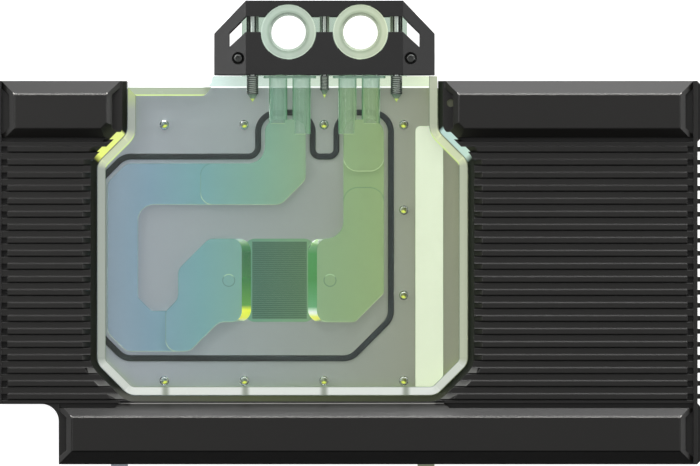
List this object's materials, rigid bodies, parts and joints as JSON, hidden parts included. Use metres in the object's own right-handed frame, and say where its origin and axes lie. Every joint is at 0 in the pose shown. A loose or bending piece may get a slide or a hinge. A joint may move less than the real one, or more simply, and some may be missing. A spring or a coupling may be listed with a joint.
{
  "type": "liquid cooling cold plate",
  "caption": "Full-cover liquid cooling cold plate for a graphics card: clear flow top over a finned plate, black ribbed shroud and a two-port terminal.",
  "frame": {"origin": "middle of the whole part's outline, at the plane of the rear rims and standoff tips that touch the card", "axes": "+X along the card's length, to the right in the picture; +Y across the card, towards the two-port terminal; +Z out of the front, towards the viewer of the picture"},
  "size_m": [0.24, 0.1596, 0.026],
  "materials": {
    "nickel_plate": "satin nickel plating over copper",
    "clear_acrylic": "polished clear acrylic",
    "frosted_acrylic": "clear acrylic with frosted faces",
    "seal_rubber": "matt black sealing rubber",
    "black_aluminium": "satin black anodised",
    "cover_black": "satin black anodised",
    "dark_steel": "blackened steel",
    "bright_steel": "bright steel",
    "board_white": "white circuit board",
    "light_white": "white light chips",
    "socket_black": "matt black",
    "diffuser_white": "milky translucent plastic",
    "standoff_brass": "turned brass",
    "pad_grey": "soft grey heat-transfer pad"
  },
  "bodies": {
    "root": {"cold_plate": "nickel_plate", "flow_top": "clear_acrylic", "main_gasket": "seal_rubber", "shroud": "black_aluminium", "terminal_block": "frosted_acrylic", "terminal_cover_front": "cover_black", "terminal_cover_rear": "cover_black", "terminal_gasket_left": "seal_rubber", "terminal_gasket_right": "seal_rubber", "terminal_screw_left": "dark_steel", "terminal_screw_middle": "dark_steel", "terminal_screw_right": "dark_steel", "cover_screw_left": "dark_steel", "cover_screw_right": "dark_steel", "flow_top_screws": "bright_steel", "shroud_screws": "dark_steel", "light_board": "board_white", "light_chips": "light_white", "light_socket": "socket_black", "light_diffuser": "diffuser_white", "chip_standoffs": "standoff_brass", "edge_standoffs": "standoff_brass", "memory_pad_left": "pad_grey", "memory_pad_right": "pad_grey", "memory_pad_top": "pad_grey", "power_pad_left": "pad_grey", "power_pad_right": "pad_grey"}
  },
  "joints": []
}
